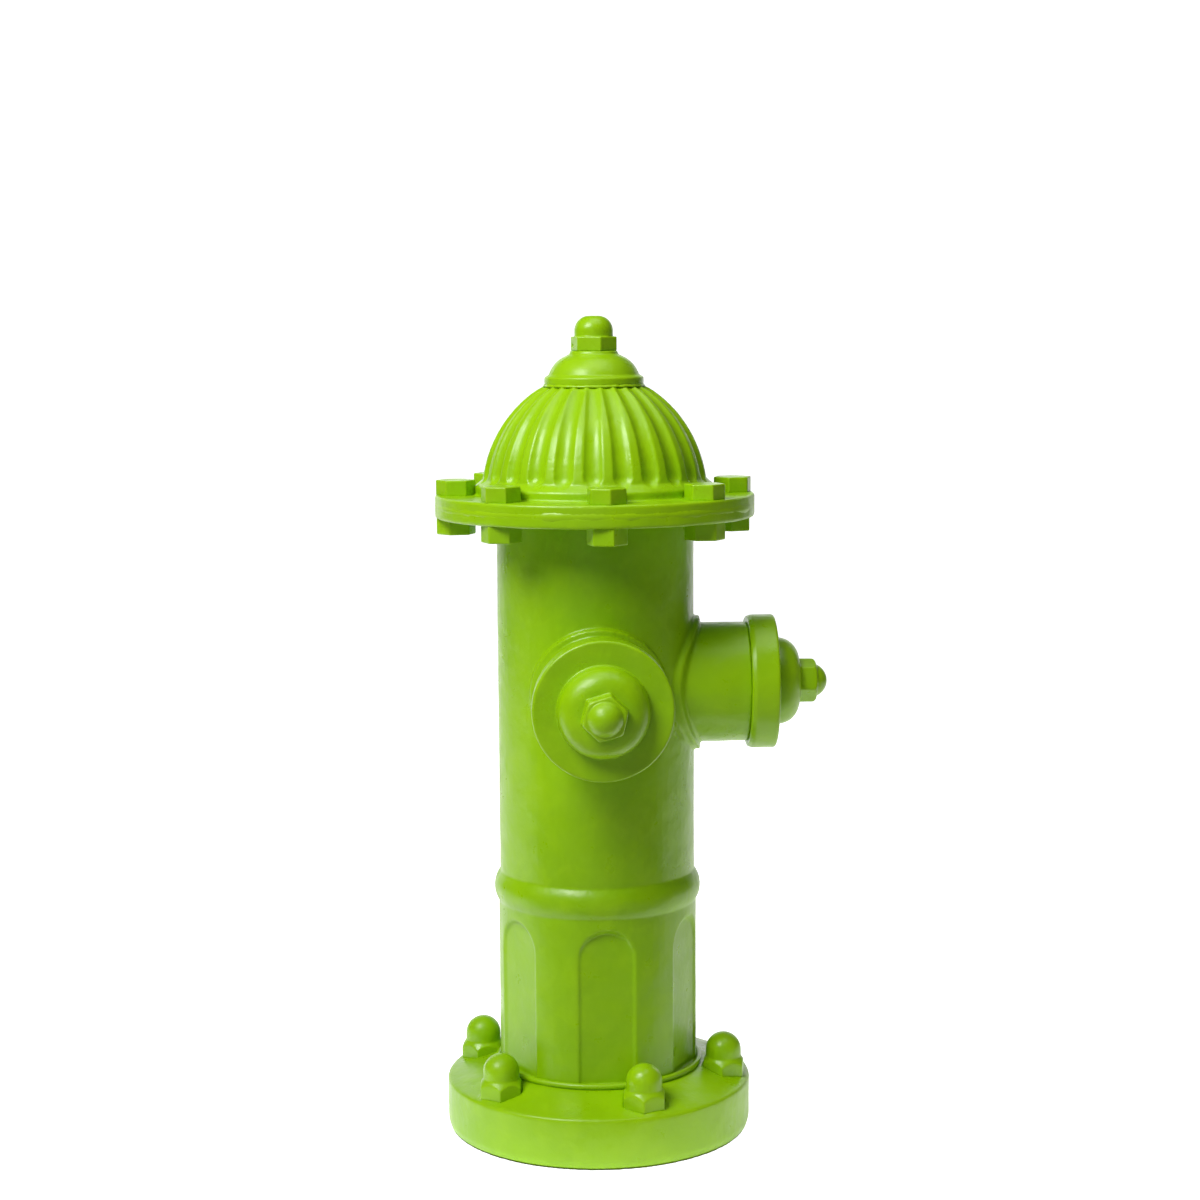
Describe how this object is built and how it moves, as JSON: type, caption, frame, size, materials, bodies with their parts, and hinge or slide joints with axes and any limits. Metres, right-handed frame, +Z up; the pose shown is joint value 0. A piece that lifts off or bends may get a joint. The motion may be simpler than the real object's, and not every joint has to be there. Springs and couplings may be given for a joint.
{
  "type": "fire hydrant",
  "caption": "Pillar fire hydrant with a fluted bonnet, flanged joint, panelled barrel, three capped hose outlets and a screw-operated main valve in its foot.",
  "frame": {"origin": "centre of the foot's underside, on the barrel's axis, at the inlet's mouth", "axes": "+Z up along the barrel, -Y the front outlet, +X the right outlet, +Y the rear outlet"},
  "size_m": [0.364, 0.433, 0.762],
  "materials": {
    "green_paint": "satin lime green paint over cast iron",
    "bronze": "machined bronze",
    "rubber": "moulded black rubber",
    "grey_iron": "bitumen-dipped casting",
    "steel": "turned stainless steel"
  },
  "bodies": {
    "hydrant": {"foot_flange": "green_paint", "foot_acorn_nuts": "green_paint", "foot_ring": "green_paint", "barrel": "green_paint", "barrel_flange": "green_paint", "neck_front": "green_paint", "neck_right": "green_paint", "neck_rear": "green_paint", "bonnet": "green_paint", "bonnet_bolts": "green_paint", "bonnet_nuts": "green_paint", "hold_down_nut": "green_paint", "seat_ring": "bronze", "lower_thrust_washer": "bronze", "upper_thrust_washer": "bronze", "nozzle_front": "bronze", "nozzle_right": "bronze", "nozzle_rear": "bronze", "foot_gasket": "rubber", "bonnet_gasket": "rubber", "packing_gasket": "rubber", "stem_seals": "rubber", "weather_seal": "rubber", "seat_ring_seal": "rubber", "nozzle_seal_front": "rubber", "nozzle_seal_right": "rubber", "nozzle_seal_rear": "rubber", "base_plate": "grey_iron", "packing_plate": "grey_iron", "stem_guide": "grey_iron", "foot_studs": "steel", "nozzle_lock_screws": "steel", "guide_screws": "steel"},
    "operator": {"operating_nut": "green_paint", "stem_nut": "bronze", "drive_pin": "steel"},
    "stem": {"lower_stem": "steel", "upper_stem": "steel", "stem_coupling": "bronze", "coupling_pins": "steel", "travel_stop_nut": "steel", "main_valve_disc": "rubber", "valve_upper_plate": "grey_iron", "valve_lower_plate": "grey_iron", "valve_nut": "steel"},
    "gasket_front": {"cap_gasket_front": "rubber"},
    "cap_front": {"cap_front": "green_paint"},
    "gasket_right": {"cap_gasket_right": "rubber"},
    "cap_right": {"cap_right": "green_paint"},
    "gasket_rear": {"cap_gasket_rear": "rubber"},
    "cap_rear": {"cap_rear": "green_paint"}
  },
  "joints": [
    {"name": "operating_turn", "type": "hinge", "parent": "hydrant", "child": "operator", "pos_m": [0, 0, 0.7], "axis": [0, 0, 1], "range_deg": [0, 1800]},
    {"name": "valve_lift", "type": "slide", "parent": "hydrant", "child": "stem", "axis": [0, 0, 1], "range_m": [0, 0.025]},
    {"name": "cap_front_travel", "type": "slide", "parent": "hydrant", "child": "gasket_front", "axis": [0, -1, 0], "range_m": [0, 0.0254]},
    {"name": "cap_front_turn", "type": "hinge", "parent": "gasket_front", "child": "cap_front", "pos_m": [0, -0.165, 0.4212], "axis": [0, -1, 0], "range_deg": [0, 2700]},
    {"name": "cap_right_travel", "type": "slide", "parent": "hydrant", "child": "gasket_right", "axis": [1, 0, 0], "range_m": [0, 0.0254]},
    {"name": "cap_right_turn", "type": "hinge", "parent": "gasket_right", "child": "cap_right", "pos_m": [0.165, 0, 0.4212], "axis": [1, 0, 0], "range_deg": [0, 2700]},
    {"name": "cap_rear_travel", "type": "slide", "parent": "hydrant", "child": "gasket_rear", "axis": [0, 1, 0], "range_m": [0, 0.0254]},
    {"name": "cap_rear_turn", "type": "hinge", "parent": "gasket_rear", "child": "cap_rear", "pos_m": [0, 0.165, 0.4212], "axis": [0, 1, 0], "range_deg": [0, 2700]}
  ],
  "couplings": [
    {"joint": "operating_turn", "follows": "valve_lift", "rad_per_m": 1256.6},
    {"joint": "cap_front_travel", "follows": "cap_front_turn", "m_per_rad": 0.000539},
    {"joint": "cap_right_travel", "follows": "cap_right_turn", "m_per_rad": 0.000539},
    {"joint": "cap_rear_travel", "follows": "cap_rear_turn", "m_per_rad": 0.000539}
  ]
}
